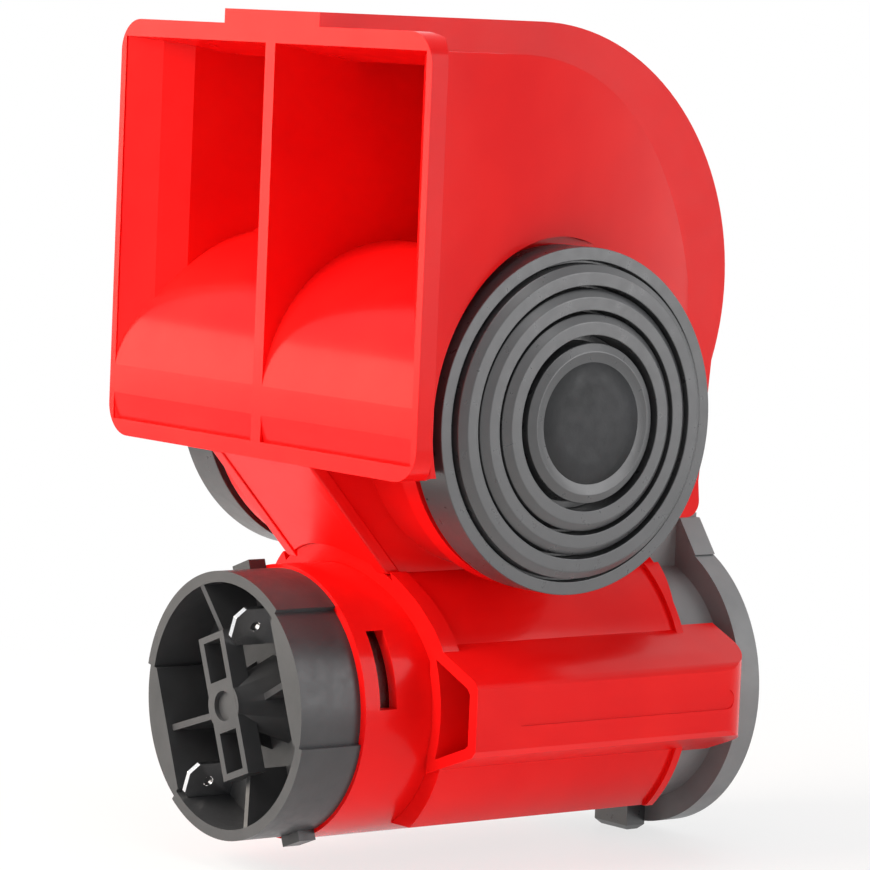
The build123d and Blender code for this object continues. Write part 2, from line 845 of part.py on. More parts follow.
with BuildPart() as front_bush:
    with BuildSketch(across(can_front + bush_length)):
        Circle(bush_radius)
        Circle(shaft_radius + run, mode=Mode.SUBTRACT)
    extrude(amount=bush_length)

with BuildPart() as rear_bush:
    with BuildSketch(across(ring_front)):
        Circle(bush_radius)
        Circle(shaft_radius + run, mode=Mode.SUBTRACT)
    extrude(amount=bush_length + can_wall)

# Turning parts, on one shaft
with BuildPart() as motor_shaft:
    with BuildSketch(across(shaft_back)):
        Circle(shaft_radius)
    extrude(amount=shaft_back - shaft_front)
    chamfer(motor_shaft.edges().filter_by(GeomType.CIRCLE), length=0.3)

with BuildPart() as commutator:
    with BuildSketch(across(commutator_back)):
        Circle(commutator_radius)
        Circle(shaft_radius + seat, mode=Mode.SUBTRACT)
    extrude(amount=commutator_back - commutator_front)

with BuildPart() as armature:
    with BuildSketch(across(armature_back)):
        Circle(armature_radius)
        with PolarLocations(0, armature_poles):
            with Locations((slot_radius, 0)):
                Rectangle(
                    end_turns_radius - slot_radius,
                    slot_width_wound,
                    align=(Align.MIN, Align.CENTER),
                    mode=Mode.SUBTRACT,
                )
                Rectangle(
                    armature_radius,
                    slot_opening,
                    align=(Align.MIN, Align.CENTER),
                    mode=Mode.SUBTRACT,
                )
        Circle(shaft_radius + seat, mode=Mode.SUBTRACT)
    extrude(amount=armature_back - armature_front)

with BuildPart() as windings:
    with BuildSketch(across(armature_back)):
        with PolarLocations(0, armature_poles):
            with Locations((slot_radius + seat, 0)):
                Rectangle(
                    end_turns_radius - slot_radius - 2 * seat,
                    slot_width_wound - 2 * seat,
                    align=(Align.MIN, Align.CENTER),
                )
    extrude(amount=armature_back - armature_front)
    with BuildSketch(across(armature_front), across(armature_back + end_turns_length)):
        Circle(end_turns_radius)
        Circle(commutator_radius, mode=Mode.SUBTRACT)
    extrude(amount=end_turns_length)

with BuildPart() as pump_rotor:
    with BuildSketch(across(rotor_back)):
        Circle(rotor_radius)
        with PolarLocations(0, vane_count, start_angle=45):
            with Locations((rotor_radius - vane_depth, 0)):
                Rectangle(
                    rotor_radius,
                    vane_thickness + 2 * seat,
                    align=(Align.MIN, Align.CENTER),
                    mode=Mode.SUBTRACT,
                )
        Circle(shaft_radius + seat, mode=Mode.SUBTRACT)
    extrude(amount=rotor_back - rotor_front)

with BuildPart() as pump_vanes:
    with BuildSketch(across(rotor_back)):
        with PolarLocations(0, vane_count, start_angle=45):
            with Locations((rotor_radius - vane_depth + seat, 0)):
                Rectangle(
                    vane_reach - rotor_radius + vane_depth - seat,
                    vane_thickness,
                    align=(Align.MIN, Align.CENTER),
                )
    extrude(amount=rotor_back - rotor_front)

# Pump: two plates with an off-centre ring between them, and the tube to the trumpets
screw_points = [on_circle(screw_circle, angle) for angle in screw_angles]

with BuildPart() as pump_plate_front:
    with BuildSketch(across(ring_front)):
        Circle(pump_radius)
        Circle(bush_radius + seat, mode=Mode.SUBTRACT)
        with Locations(*screw_points):
            Circle(screw_radius + seat, mode=Mode.SUBTRACT)
    extrude(amount=pump_plate)

with BuildPart() as pump_ring:
    with BuildSketch(across(ring_back)):
        Circle(pump_radius)
        with Locations((0, -chamber_drop)):
            Circle(chamber_radius, mode=Mode.SUBTRACT)
        with Locations(*screw_points):
            Circle(screw_radius + seat, mode=Mode.SUBTRACT)
    extrude(amount=pump_ring_length)
    with BuildSketch(plan.offset(chamber_top - 1)):
        with Locations((0, outlet_back)):
            Circle(outlet_radius)
    extrude(amount=pump_radius, mode=Mode.SUBTRACT)
    with BuildSketch(plan.offset(outlet_foot)):
        with Locations((0, outlet_back)):
            Circle(outlet_radius + outlet_wall + seat)
    extrude(amount=pump_radius, mode=Mode.SUBTRACT)

with BuildPart() as pump_plate_rear:
    with BuildSketch(across(pump_back)):
        Circle(pump_radius)
        with Locations(*screw_points):
            Circle(screw_radius + seat, mode=Mode.SUBTRACT)
        with Locations(*[on_circle(inlet_port_circle, angle) for angle in inlet_port_angles]):
            Circle(inlet_port_radius, mode=Mode.SUBTRACT)
    extrude(amount=pump_plate)

with BuildPart() as head_gasket:
    with BuildSketch(across(head_front)):
        Circle(pump_radius)
        Circle(screw_circle - 1.5 * screw_radius, mode=Mode.SUBTRACT)
        with Locations(*screw_points):
            Circle(screw_radius + seat, mode=Mode.SUBTRACT)
    extrude(amount=gasket_thickness)

with BuildPart() as outlet_tube:
    with BuildSketch(plan.offset(outlet_foot)):
        with Locations((0, outlet_back)):
            Circle(outlet_radius + outlet_wall)
            Circle(outlet_radius, mode=Mode.SUBTRACT)
    extrude(amount=outlet_top - outlet_foot)

# Rear head: air is drawn in through its slots, and the horn hangs from the insert above them
with BuildPart() as rear_head:
    with BuildSketch(across(mount_back)):
        Circle(head_flange_radius)
    extrude(amount=mount_back - head_flange_front)
    with BuildSketch(across(mount_back)):
        Circle(head_radius)
        with BuildLine():
            Polyline(
                (-block_half, block_low),
                (block_half, block_low),
                (block_half, heel_bottom),
                (-block_half, heel_bottom),
                close=True,
            )
        make_face()
    extrude(amount=mount_back - block_front)
    with BuildSketch(across(block_front)):
        Circle(head_radius)
    extrude(amount=block_front - head_front)
    with BuildSketch(across(mount_back)):
        with BuildLine():
            Polyline(
                (-tab_half_low, tab_low),
                (tab_half_low, tab_low),
                (tab_half_high, tab_high),
                (-tab_half_high, tab_high),
                close=True,
            )
        make_face()
    extrude(amount=mount_back - head_flange_front)
    with BuildSketch(across(head_front)):
        Circle(sleeve_radius)
    extrude(amount=head_front - sleeve_back)
    with BuildSketch(across(head_front)):
        Circle(sleeve_bore)
    extrude(amount=head_front - sleeve_back, mode=Mode.SUBTRACT)
    with BuildSketch(across(head_floor)):
        Circle(head_bore)
    extrude(amount=head_floor - head_front, mode=Mode.SUBTRACT)
    with BuildSketch(across(mount_back)):
        with GridLocations(0, inlet_slot_pitch, 1, inlet_slots):
            SlotOverall(inlet_slot_length, inlet_slot_width)
    extrude(amount=mount_back - head_floor, mode=Mode.SUBTRACT)
    with BuildSketch(across(mount_back)):
        with Locations((0, mount_height)):
            Circle(insert_radius + seat)
    extrude(amount=insert_length, mode=Mode.SUBTRACT)
    with BuildSketch(across(mount_back)):
        with Locations(*screw_points):
            Circle(screw_radius + seat)
    extrude(amount=mount_back - sleeve_back, mode=Mode.SUBTRACT)
    with BuildSketch(across(mount_back)):
        with Locations(*screw_points):
            Circle(screw_head_radius + seat)
    extrude(amount=screw_sink + screw_head_length, mode=Mode.SUBTRACT)
    with BuildSketch(plan.offset(-foot_seat)):
        with Locations((foot_middle, head_flange_front)):
            Rectangle(
                foot_width + 2 * seat, foot_length + seat, align=(Align.CENTER, Align.MAX)
            )
    extrude(amount=-head_radius, mode=Mode.SUBTRACT)

with BuildPart() as mount_insert:
    with BuildSketch(across(mount_back)):
        with Locations((0, mount_height)):
            Circle(insert_radius)
    extrude(amount=insert_length)
    with BuildSketch(across(mount_back)):
        with Locations((0, mount_height)):
            Circle(mount_radius)
    extrude(amount=mount_depth, mode=Mode.SUBTRACT)

with BuildPart() as inlet_filter:
    with BuildSketch(across(head_floor)):
        Circle(head_bore - seat)
    extrude(amount=filter_thickness)

with BuildPart() as head_screws:
    with BuildSketch(across(mount_back - screw_sink)):
        with Locations(*screw_points):
            Circle(screw_head_radius)
    extrude(amount=screw_head_length)
    with BuildSketch(across(mount_back - screw_sink)):
        with Locations(*screw_points):
            RegularPolygon(0.55 * screw_head_radius, 6)
    extrude(amount=screw_head_length / 2, mode=Mode.SUBTRACT)
    with BuildSketch(across(mount_back - screw_sink - screw_head_length)):
        with Locations(*screw_points):
            Circle(screw_radius)
    extrude(amount=mount_back - screw_sink - screw_head_length - can_back - seat)

with BuildPart() as foot_plug:
    with BuildSketch(plan.offset(-foot_seat)):
        with Locations((foot_middle, head_flange_front)):
            Rectangle(foot_width, foot_length, align=(Align.CENTER, Align.MAX))
    extrude(amount=foot_seat - head_flange_radius - foot_drop)
    chamfer(foot_plug.faces().sort_by(Axis.Z)[0].edges(), length=0.8)

for piece, name in [
    (end_bell, "end_bell"),
    (brushes, "brushes"),
    (motor_can, "motor_can"),
    (magnets, "magnets"),
    (front_bush, "front_bush"),
    (rear_bush, "rear_bush"),
    (motor_shaft, "motor_shaft"),
    (commutator, "commutator"),
    (armature, "armature"),
    (windings, "windings"),
    (pump_rotor, "pump_rotor"),
    (pump_vanes, "pump_vanes"),
    (pump_plate_front, "pump_plate_front"),
    (pump_ring, "pump_ring"),
    (pump_plate_rear, "pump_plate_rear"),
    (head_gasket, "head_gasket"),
    (outlet_tube, "outlet_tube"),
    (rear_head, "rear_head"),
    (mount_insert, "mount_insert"),
    (inlet_filter, "inlet_filter"),
    (head_screws, "head_screws"),
    (foot_plug, "foot_plug"),
]:
    piece.part.label = name
    export_step(piece.part, f"parts/{name}.step")
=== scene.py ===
import json
import math

import bmesh
import bpy
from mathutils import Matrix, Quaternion, Vector


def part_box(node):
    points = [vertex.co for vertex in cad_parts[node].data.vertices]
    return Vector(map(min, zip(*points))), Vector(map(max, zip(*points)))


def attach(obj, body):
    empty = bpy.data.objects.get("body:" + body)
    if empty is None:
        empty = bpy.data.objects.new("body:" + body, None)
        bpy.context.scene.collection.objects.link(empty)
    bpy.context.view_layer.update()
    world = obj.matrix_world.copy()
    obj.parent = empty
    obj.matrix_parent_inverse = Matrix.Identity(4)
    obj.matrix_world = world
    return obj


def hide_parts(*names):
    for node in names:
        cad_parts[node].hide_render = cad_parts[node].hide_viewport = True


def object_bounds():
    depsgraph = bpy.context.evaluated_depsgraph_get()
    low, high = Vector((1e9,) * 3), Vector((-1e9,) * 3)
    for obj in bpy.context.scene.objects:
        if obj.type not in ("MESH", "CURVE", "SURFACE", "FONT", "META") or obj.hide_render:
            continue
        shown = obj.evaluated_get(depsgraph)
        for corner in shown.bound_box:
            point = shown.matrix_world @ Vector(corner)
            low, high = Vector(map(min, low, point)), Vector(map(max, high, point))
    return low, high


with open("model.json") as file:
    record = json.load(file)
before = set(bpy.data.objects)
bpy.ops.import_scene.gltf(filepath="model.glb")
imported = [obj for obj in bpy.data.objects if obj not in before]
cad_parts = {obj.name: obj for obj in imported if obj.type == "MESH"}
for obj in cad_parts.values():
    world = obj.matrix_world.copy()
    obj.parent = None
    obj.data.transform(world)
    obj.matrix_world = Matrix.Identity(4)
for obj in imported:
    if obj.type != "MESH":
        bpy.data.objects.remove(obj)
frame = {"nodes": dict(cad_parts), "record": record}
cad_low, cad_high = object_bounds()
nodes = frame["nodes"]

MM = 0.001

# Sizes are in millimetres and angles in degrees, apart from the stage's sizes, in metres

# The row's origin is the mounting hole's mouth, this far behind the face of the trumpets' mouth
# and above the motor's axis
MOUNT_BACK = 84.0
MOUNT_HEIGHT = 19.5


def place(x, back, height):
    """A point of the row frame, from millimetres to the right, behind the trumpets' mouth and
    above the motor's axis."""
    return Vector((x * MM, (back - MOUNT_BACK) * MM, (height - MOUNT_HEIGHT) * MM))


# Materials

NOISE_LOW = 0.3                 # noise stays mostly between these two values
NOISE_HIGH = 0.7


class Surface:
    """A principled material, with short calls for the nodes that drive it."""

    def __init__(self, name, color, roughness, metallic=0.0):
        self.material = bpy.data.materials.new(name)
        self.material.use_nodes = True
        self.tree = self.material.node_tree
        self.shader = self.tree.nodes["Principled BSDF"]
        self.coords = self.add("ShaderNodeTexCoord").outputs["Object"]
        self.set("Base Color", (*color, 1.0))
        self.set("Roughness", roughness)
        self.set("Metallic", metallic)
        self.relief = None

    def add(self, kind):
        return self.tree.nodes.new(kind)

    def link(self, source, target):
        self.tree.links.new(source, target)

    def set(self, socket, value):
        self.shader.inputs[socket].default_value = value

    def noise(self, scale, detail=3.0, rough=0.5, stretch=(1, 1, 1)):
        """Noise whose grain is 1 / scale metres, finer along an axis with a stretch above 1."""
        mapping = self.add("ShaderNodeMapping")
        mapping.inputs["Scale"].default_value = stretch
        self.link(self.coords, mapping.inputs["Vector"])
        node = self.add("ShaderNodeTexNoise")
        node.inputs["Scale"].default_value = scale
        node.inputs["Detail"].default_value = detail
        node.inputs["Roughness"].default_value = rough
        self.link(mapping.outputs["Vector"], node.inputs["Vector"])
        return node.outputs["Fac"]

    def spread(self, source, low, high, start=NOISE_LOW, end=NOISE_HIGH, curve="LINEAR"):
        """Maps start..end of a source to low..high."""
        node = self.add("ShaderNodeMapRange")
        node.interpolation_type = curve
        node.inputs["From Min"].default_value = start
        node.inputs["From Max"].default_value = end
        node.inputs["To Min"].default_value = low
        node.inputs["To Max"].default_value = high
        self.link(source, node.inputs["Value"])
        return node.outputs["Result"]

    def tint(self, source, first, second):
        """Runs the base colour from the first to the second."""
        ramp = self.add("ShaderNodeValToRGB")
        ramp.color_ramp.elements[0].position = NOISE_LOW
        ramp.color_ramp.elements[0].color = (*first, 1.0)
        ramp.color_ramp.elements[1].position = NOISE_HIGH
        ramp.color_ramp.elements[1].color = (*second, 1.0)
        self.link(source, ramp.inputs["Fac"])
        self.link(ramp.outputs["Color"], self.shader.inputs["Base Color"])

    def gloss(self, source, low, high):
        """Runs the roughness from low to high."""
        self.link(self.spread(source, low, high), self.shader.inputs["Roughness"])

    def bump(self, source, depth_mm):
        """Adds relief of a depth in millimetres to what is there."""
        node = self.add("ShaderNodeBump")
        node.inputs["Strength"].default_value = 1.0
        node.inputs["Distance"].default_value = depth_mm * MM
        self.link(source, node.inputs["Height"])
        if self.relief is not None:
            self.link(self.relief, node.inputs["Normal"])
        self.relief = node.outputs["Normal"]
        self.link(self.relief, self.shader.inputs["Normal"])


def red_plastic():
    surface = Surface("red_gloss_plastic", (0.80, 0.006, 0.006), 0.2)
    surface.tint(surface.noise(scale=60, detail=2), (0.77, 0.005, 0.006), (0.83, 0.009, 0.008))
    surface.gloss(surface.noise(scale=220, detail=4, rough=0.6), low=0.17, high=0.27)
    surface.bump(surface.noise(scale=160, detail=2), depth_mm=0.012)
    surface.bump(surface.noise(scale=2600, detail=2), depth_mm=0.0016)
    surface.set("Coat Weight", 0.06)
    surface.set("Coat Roughness", 0.06)
    surface.set("Specular IOR Level", 0.12)
    return surface.material


def dark_plastic(name, dark, light, smooth, rough, grain=2400, depth=0.006, specular=0.5):
    surface = Surface(name, dark, smooth)
    surface.tint(surface.noise(scale=90, detail=4, rough=0.6), dark, light)
    surface.gloss(surface.noise(scale=500, detail=4, rough=0.6), low=smooth, high=rough)
    surface.bump(surface.noise(scale=grain, detail=2), depth_mm=depth)
    surface.bump(surface.noise(scale=240, detail=2), depth_mm=0.01)
    surface.set("Specular IOR Level", specular)
    return surface.material


def rubber():
    surface = Surface("black_rubber", (0.018, 0.018, 0.019), 0.6)
    surface.gloss(surface.noise(scale=700, detail=4), low=0.5, high=0.7)
    surface.bump(surface.noise(scale=3000, detail=3), depth_mm=0.006)
    return surface.material


def metal(name, dark, light, smooth, rough, stretch=(1, 1, 1)):
    surface = Surface(name, dark, smooth, 1.0)
    surface.tint(surface.noise(scale=300, detail=4, rough=0.6, stretch=stretch), dark, light)
    grain = surface.noise(scale=1800, detail=4, rough=0.6, stretch=stretch)
    surface.gloss(grain, low=smooth, high=rough)
    surface.bump(surface.noise(scale=1800, detail=3, rough=0.5, stretch=stretch), depth_mm=0.003)
    return surface.material


def felt():
    surface = Surface("filter_felt", (0.5, 0.49, 0.45), 0.95)
    fibres = surface.noise(scale=1500, detail=6, rough=0.8)
    surface.tint(fibres, (0.34, 0.33, 0.30), (0.62, 0.61, 0.56))
    surface.bump(surface.noise(scale=2200, detail=6, rough=0.8), depth_mm=0.12)
    surface.set("Sheen Weight", 0.4)
    return surface.material


def pale_plastic():
    surface = Surface("pale_plastic", (0.72, 0.72, 0.68), 0.4)
    surface.tint(surface.noise(scale=120, detail=3), (0.68, 0.68, 0.63), (0.76, 0.76, 0.72))
    surface.gloss(surface.noise(scale=600, detail=3), low=0.32, high=0.5)
    surface.bump(surface.noise(scale=1800, detail=2), depth_mm=0.004)
    return surface.material


# The finish of each slot: name, darker and lighter colour, lowest and highest roughness, and
# how much finer the grain is along each axis
FINISHES = {
    "red_shell": red_plastic(),
    "black_cap": dark_plastic(
        "black_satin_plastic", (0.040, 0.042, 0.045), (0.056, 0.058, 0.062), 0.26, 0.38,
        specular=0.9,
    ),
    "front_grey": dark_plastic(
        "dark_grey_plastic", (0.032, 0.034, 0.037), (0.050, 0.052, 0.056), 0.30, 0.44
    ),
    "head_grey": dark_plastic(
        "mid_grey_plastic", (0.190, 0.200, 0.204), (0.230, 0.240, 0.244), 0.36, 0.52
    ),
    "bell_black": dark_plastic(
        "matt_black_plastic", (0.012, 0.012, 0.013), (0.020, 0.020, 0.021), 0.5, 0.65
    ),
    "carbon": dark_plastic("carbon", (0.016, 0.016, 0.017), (0.030, 0.030, 0.031), 0.45, 0.6),
    "seal": rubber(),
    "tube_white": pale_plastic(),
    "filter_felt": felt(),
    "diaphragm_steel": metal("spring_steel", (0.52, 0.53, 0.55), (0.62, 0.63, 0.65), 0.22, 0.34),
    "terminal_steel": metal("bright_plate", (0.74, 0.75, 0.77), (0.86, 0.87, 0.89), 0.12, 0.22),
    "motor_steel": metal(
        "plated_steel", (0.50, 0.51, 0.53), (0.62, 0.63, 0.65), 0.25, 0.38, (1, 8, 1)
    ),
    "lamination": metal(
        "laminated_steel", (0.24, 0.24, 0.26), (0.36, 0.36, 0.38), 0.35, 0.5, (1, 30, 1)
    ),
    "ferrite": dark_plastic("ferrite", (0.035, 0.035, 0.037), (0.055, 0.055, 0.057), 0.6, 0.75),
    "copper": metal("copper", (0.66, 0.28, 0.14), (0.80, 0.40, 0.22), 0.22, 0.38, (1, 6, 1)),
    "bronze": metal("bronze", (0.50, 0.34, 0.16), (0.62, 0.45, 0.24), 0.35, 0.5),
    "brass_insert": metal("turned_brass", (0.66, 0.48, 0.20), (0.80, 0.62, 0.30), 0.18, 0.32),
    "pump_alloy": metal("turned_alloy", (0.60, 0.61, 0.63), (0.74, 0.75, 0.77), 0.25, 0.4),
    "screw_steel": metal("zinc_plate", (0.52, 0.53, 0.55), (0.66, 0.67, 0.69), 0.25, 0.4),
}

# The middle of each side cap has a coarser, darker finish
MIDDLE_FINISH = dark_plastic(
    "puck_black", (0.009, 0.010, 0.011), (0.024, 0.025, 0.028), 0.42, 0.6,
    grain=1500, depth=0.02, specular=0.4,
)

for subpart in frame["record"]["subparts"]:
    node = nodes[subpart["node"]]
    node.data.materials.clear()
    node.data.materials.append(FINISHES[subpart["material_slot"]])

# Soft edges, whose widths are in millimetres
MOULDED_WIDTHS = {
    "trumpet_centre": 0.8,
    "trumpet_shell_right": 0.8,
    "trumpet_shell_left": 0.8,
    "motor_sleeve": 0.25,
    "rear_head": 0.3,
}
MOULDED_ANGLE = 38              # the smallest turn between two faces, in degrees, that is softened
PIECE_ANGLE = 30
EDGE_SEGMENTS = 3


def soften(piece, width_mm, angle):
    bevel = piece.modifiers.new("soft_edges", "BEVEL")
    bevel.width = width_mm * MM
    bevel.segments = EDGE_SEGMENTS
    bevel.limit_method = "ANGLE"
    bevel.angle_limit = math.radians(angle)
    bevel.harden_normals = True


for name, width in MOULDED_WIDTHS.items():
    soften(nodes[name], width, MOULDED_ANGLE)

# Pieces with more detail than the solids that they stand for or sit on

ROUND_STEPS = 144               # corners round a full circle
SAME_POINT = 1e-7               # metres between corners that are one
SEAM_GAP = 2e-6                 # the same along the seams of cut and joined shapes


def as_object(name, form):
    """An object of the scene from a bmesh, with its faces turned outwards."""
    bmesh.ops.recalc_face_normals(form, faces=form.faces)
    mesh = bpy.data.meshes.new(name)
    form.to_mesh(mesh)
    form.free()
    shape = bpy.data.objects.new(name, mesh)
    bpy.context.scene.collection.objects.link(shape)
    return shape


def finished(name, form, slot, bevel_mm=0.0, material=None):
    """A piece of the horn from a bmesh, with the material of its slot or one of its own."""
    for face in form.faces:
        face.smooth = True
    piece = as_object(name, form)
    piece.data.materials.append(material or FINISHES[slot])
    if bevel_mm:
        soften(piece, bevel_mm, PIECE_ANGLE)
    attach(piece, "horn")
    return piece


def skin(form, first, second):
    """A band of faces between two rings of corners."""
    for index in range(len(first)):
        after = (index + 1) % len(first)
        form.faces.new((first[index], first[after], second[after], second[index]))


def turned(profile, point):
    """Turns a closed profile; point gives the place of (along, radius) at an angle."""
    form = bmesh.new()
    rows = []
    for step in range(ROUND_STEPS):
        angle = math.radians(360.0 * step / ROUND_STEPS)
        rows.append([form.verts.new(point(along, radius, angle)) for along, radius in profile])
    for first, second in zip(rows, rows[1:] + rows[:1]):
        skin(form, first, second)
    bmesh.ops.remove_doubles(form, verts=form.verts, dist=SAME_POINT)
    bmesh.ops.dissolve_degenerate(form, edges=form.edges, dist=SAME_POINT)
    return form


# Side caps: each rib is a flat and a slope, with a dark groove before the next one
UNIT_BACK = 35.6                # where the caps' axis runs
UNIT_HEIGHT = 45.6
CAP_RADIUS = 26.3
CAP_BACK_FACE = 26.7            # faces are distances from the middle, along X
CAP_RIM_FACE = 33.3
CAVITY_FACE = 30.0
DIAPHRAGM_FACE = 26.4
DRUM_BORE = 22.4
DIAPHRAGM_SEAT = 24.35          # radius of the step that holds the diaphragm
RIB_STEPS = (1.7, 2.2, 2.9)     # how proud of the rim each inner rib stands
RIB_FLAT = 2.0                  # a rib's flat and slope, measured towards the axis
RIB_SLOPE = 1.15
RIB_FALL = 1.0                  # how far the slope falls
GROOVE_WIDTH = 0.53
GROOVE_DEPTH = 1.6
PUCK_RADIUS = 12.1              # the raised disc in the middle
PUCK_RISE = 3.4
PUCK_EDGE = 1.3
PUCK_DISH = 0.4
DISH_FACE = CAP_RIM_FACE + PUCK_RISE - PUCK_DISH
DISH_RADIUS = PUCK_RADIUS - 2 * PUCK_EDGE
DISH_ROOT = 0.3                 # how deep the finer middle is set into the cap
DISH_ROOT_INSET = 0.2
DISH_CROWN = 0.14               # how proud it stands at its centre, its shoulder and its edge
DISH_SHOULDER = 0.10
DISH_SHOULDER_SHARE = 0.6
DISH_EDGE = 0.03
DISH_EDGE_INSET = 0.3

dish_profile = [
    (DISH_FACE - DISH_ROOT, 0.0),
    (DISH_FACE + DISH_CROWN, 0.0),
    (DISH_FACE + DISH_SHOULDER, DISH_RADIUS * DISH_SHOULDER_SHARE),
    (DISH_FACE + DISH_EDGE, DISH_RADIUS - DISH_EDGE_INSET),
    (DISH_FACE - DISH_ROOT, DISH_RADIUS - DISH_ROOT_INSET),
]


def cap_profile():
    """Distances along X and radii of the right cap, from the rim inwards and back."""
    groove_floor = CAP_RIM_FACE - GROOVE_DEPTH
    radius = CAP_RADIUS
    points = [(CAP_RIM_FACE, radius), (CAP_RIM_FACE, radius - RIB_FLAT)]
    radius -= RIB_FLAT
    for step in RIB_STEPS:
        points.append((groove_floor, radius))
        radius -= GROOVE_WIDTH
        points.append((groove_floor, radius))
        points.append((CAP_RIM_FACE + step - RIB_FALL, radius))
        radius -= RIB_SLOPE
        points.append((CAP_RIM_FACE + step, radius))
        radius -= RIB_FLAT
        points.append((CAP_RIM_FACE + step, radius))
    return points + [
        (groove_floor, radius),
        (groove_floor, PUCK_RADIUS),
        (CAP_RIM_FACE + PUCK_RISE - PUCK_EDGE / 2, PUCK_RADIUS),
        (CAP_RIM_FACE + PUCK_RISE, PUCK_RADIUS - PUCK_EDGE),
        (DISH_FACE, DISH_RADIUS),
        (DISH_FACE, 0.0),
        (CAVITY_FACE, 0.0),
        (CAVITY_FACE, DRUM_BORE),
        (DIAPHRAGM_FACE, DRUM_BORE),
        (DIAPHRAGM_FACE, DIAPHRAGM_SEAT),
        (CAP_BACK_FACE, DIAPHRAGM_SEAT),
        (CAP_BACK_FACE, CAP_RADIUS),
    ]


def cap_point(hand):
    def point(along, radius, angle):
        back = UNIT_BACK + radius * math.sin(angle)
        return place(hand * along, back, UNIT_HEIGHT + radius * math.cos(angle))
    return point


SIDES = (("right", 1), ("left", -1))
for side, hand in SIDES:
    dish = turned(dish_profile, cap_point(hand))
    finished("side_cap_middle_" + side, dish, "black_cap", material=MIDDLE_FINISH)
    form = turned(cap_profile(), cap_point(hand))
    cap = finished("side_cap_" + side, form, "black_cap", bevel_mm=0.16)
    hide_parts("ribbed_cap_" + side)


# Shapes that are cut and joined: each call gives a plain object to combine with others


def between(first_outline, second_outline):
    """A solid between two outlines with the same number of points."""
    form = bmesh.new()
    first = [form.verts.new(point) for point in first_outline]
    second = [form.verts.new(point) for point in second_outline]
    form.faces.new(first)
    form.faces.new(second)
    skin(form, first, second)
    return as_object("blank", form)


def prism(points, start, end, place_point):
    """A closed outline of 2-D points, extruded between two values of the third axis."""
    return between(
        [place_point(a, b, start) for a, b in points],
        [place_point(a, b, end) for a, b in points],
    )


def from_side(back, height, x):
    return place(x, back, height)


def from_front(x, height, back):
    return place(x, back, height)


def from_top(x, back, height):
    return place(x, back, height)


def on_circle(radius, turn):
    return radius * math.cos(math.radians(turn)), radius * math.sin(math.radians(turn))


def circle(radius, start=0.0, end=360.0, steps=ROUND_STEPS, middle=(0.0, 0.0)):
    """Points of a circle, or of an arc with both its ends."""
    corners = steps if end - start >= 360.0 else steps + 1
    arc = [on_circle(radius, start + (end - start) * step / steps) for step in range(corners)]
    return [(middle[0] + a, middle[1] + b) for a, b in arc]


def rectangle(half_width, low, high):
    return [(-half_width, low), (half_width, low), (half_width, high), (-half_width, high)]


def rotated(x, height, turn):
    """A point turned about the motor's axis."""
    cosine, sine = math.cos(math.radians(turn)), math.sin(math.radians(turn))
    return x * cosine - height * sine, x * sine + height * cosine


def turned_outline(points, turn):
    return [rotated(x, height, turn) for x, height in points]


def round_bar(radius, start, end, radius_end=None):
    """A cylinder or cone about the motor's axis."""
    rear = radius if radius_end is None else radius_end
    return between(
        [from_front(x, height, start) for x, height in circle(radius)],
        [from_front(x, height, end) for x, height in circle(rear)],
    )


def combine(base, *tools, operation="DIFFERENCE"):
    """Cuts each tool from the base, or joins or intersects them, and uses the tools up."""
    for tool in tools:
        step = base.modifiers.new("step", "BOOLEAN")
        step.operation = operation
        step.solver = "EXACT"
        step.object = tool
        graph = bpy.context.evaluated_depsgraph_get()
        mesh = bpy.data.meshes.new_from_object(base.evaluated_get(graph))
        base.modifiers.clear()
        base.data = mesh
        bpy.data.objects.remove(tool)
    return base


def dressed(name, shape, slot, bevel_mm, node=None):
    """Turns a combined shape into a finished piece, in place of a node where one is named."""
    form = bmesh.new()
    form.from_mesh(shape.data)
    bpy.data.objects.remove(shape)
    bmesh.ops.remove_doubles(form, verts=form.verts, dist=SEAM_GAP)
    piece = finished(name, form, slot, bevel_mm)
    if node:
        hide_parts(node)
    return piece


# Saddle: a wrap that leans back under the neck, with a front rim, a rear lip and the open channel
SPAN = (0, 90)                  # from ahead of the saddle's front to behind its rear
LONG_SPAN = (-5, 95)            # the same for cuts, with more room
FAR = 60.0                      # past both sides of the saddle
SADDLE_RADIUS = 23.95
SADDLE_BORE = 21.15
SADDLE_TOP = 25.5
SADDLE_BOTTOM = -18.0           # the wrap is open below this
RIM_RADIUS = 25.2
RIM_LENGTH = 3.1
RIM_FOOT = -4.0                 # below this the rim isn't proud of the wrap on the right
RIM_CUT_REACH = 40.0
LIP_RADIUS = 24.6
LIP_FRONT = 67.3
NECK_CLEAR = 13.6
NECK_REACH = 40.0

# (back, height) points of the saddle's edges
front_line = [
    (14.6, SADDLE_TOP),
    (16.3, 21.15),
    (17.9, 17.2),
    (19.15, 13.2),
    (20.0, 8.2),
    (20.4, 3.0),
    (20.4, SADDLE_BOTTOM),
]
rear_line = [(68.7, SADDLE_BOTTOM), (68.7, 15.0), (70.8, 22.0), (70.8, SADDLE_TOP)]
rim_back_line = [(back + RIM_LENGTH, height) for back, height in reversed(front_line)]
lip_outline = [(LIP_FRONT, SADDLE_BOTTOM)] + rear_line + [(LIP_FRONT, SADDLE_TOP)]


def wrap(outline, radius):
    """What a side outline keeps of a cylinder about the motor's axis."""
    return combine(
        prism(outline, -FAR, FAR, from_side),
        round_bar(radius, *SPAN),
        operation="INTERSECT",
    )


saddle = wrap(front_line + rear_line, SADDLE_RADIUS)
rim = wrap(front_line + rim_back_line, RIM_RADIUS)
lip = wrap(lip_outline, LIP_RADIUS)

